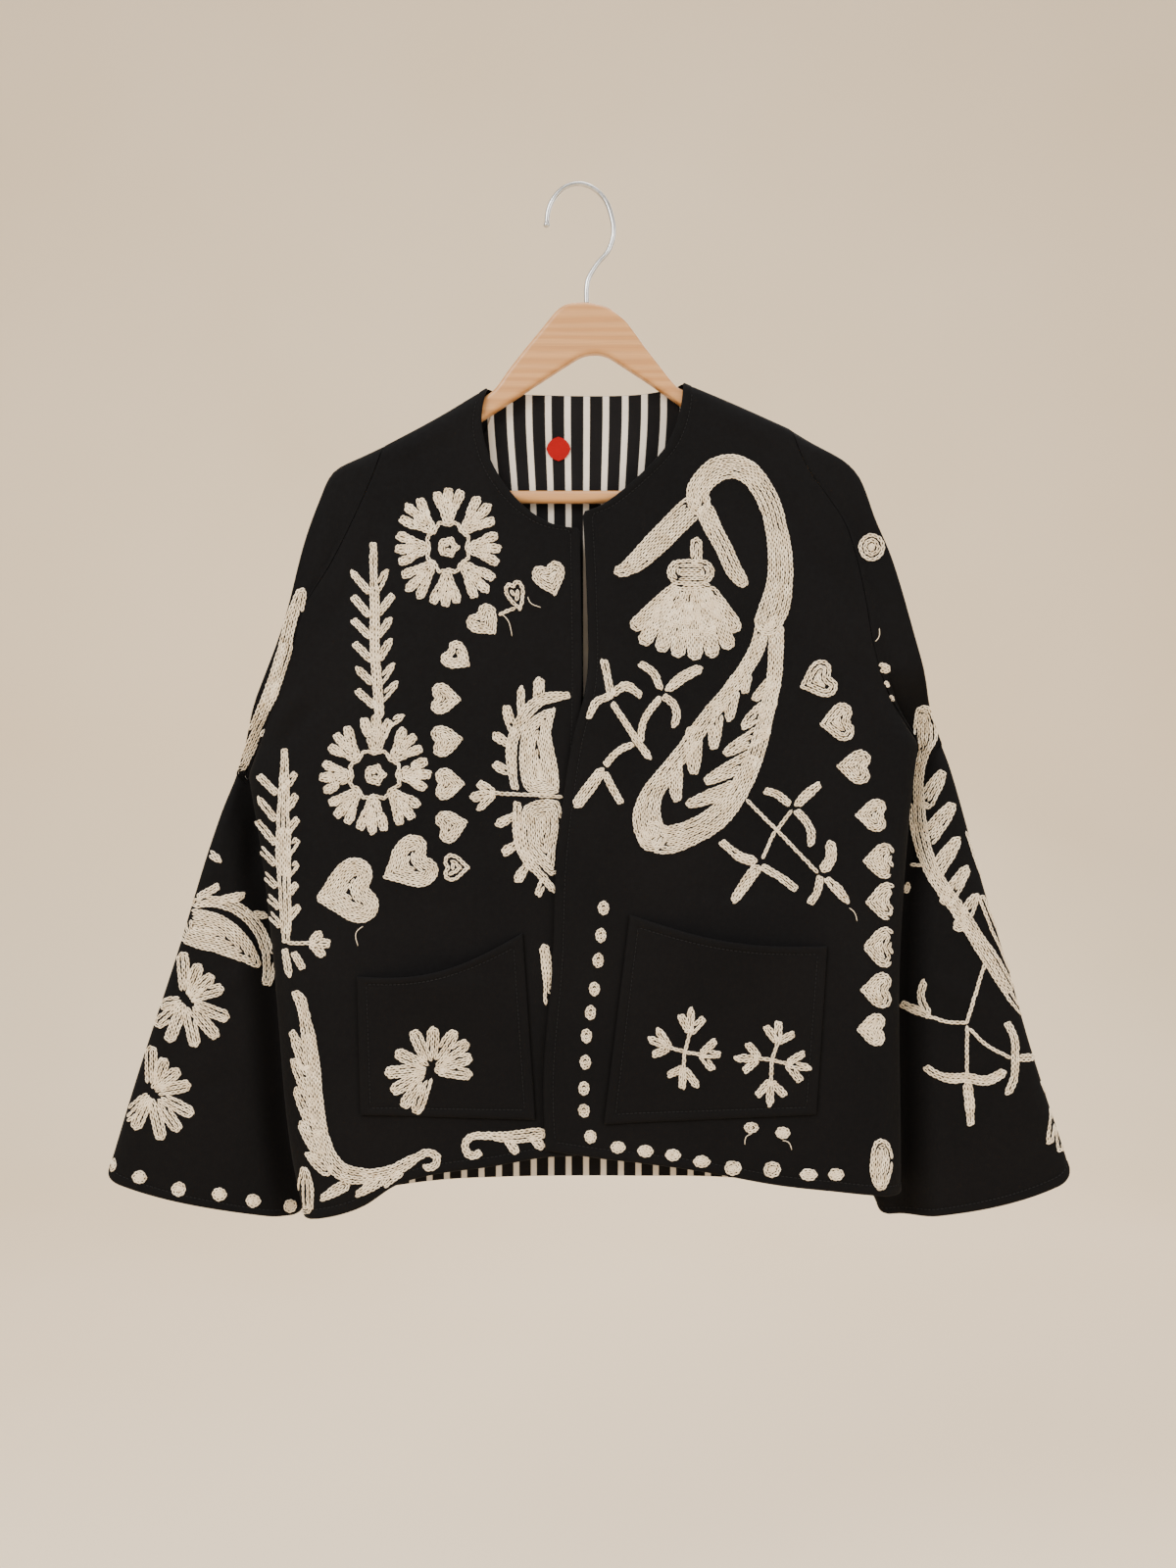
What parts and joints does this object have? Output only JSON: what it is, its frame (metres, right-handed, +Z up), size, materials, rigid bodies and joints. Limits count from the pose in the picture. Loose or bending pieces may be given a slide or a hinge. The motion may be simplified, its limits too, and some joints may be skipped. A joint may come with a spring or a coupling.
{
  "type": "embroidered jacket on a hanger",
  "caption": "Black open-front cotton jacket with cream chain-stitch embroidery, patch pockets and a striped lining, hung flat on a wooden hanger.",
  "frame": {"origin": "inner top of the hanger's hook, where a rod or peg carries it", "axes": "+X to the right as seen from the front, -Y out of the jacket's front, +Z up"},
  "size_m": [0.7536, 0.0625, 0.8105],
  "materials": {
    "cotton": "matt plain-weave black cotton",
    "striped_cotton": "black and cream striped cotton",
    "red_cotton": "red satin stitch",
    "pale_wood": "satin varnish",
    "steel_wire": "plated wire"
  },
  "bodies": {
    "root": {"back": "cotton", "front_right": "cotton", "front_left": "cotton", "sleeve_right": "cotton", "sleeve_left": "cotton", "pocket_right": "cotton", "pocket_left": "cotton", "back_lining": "striped_cotton", "neck_patch": "red_cotton", "hanger_arms": "pale_wood", "hanger_bar": "pale_wood", "hanger_hook": "steel_wire"}
  },
  "joints": []
}
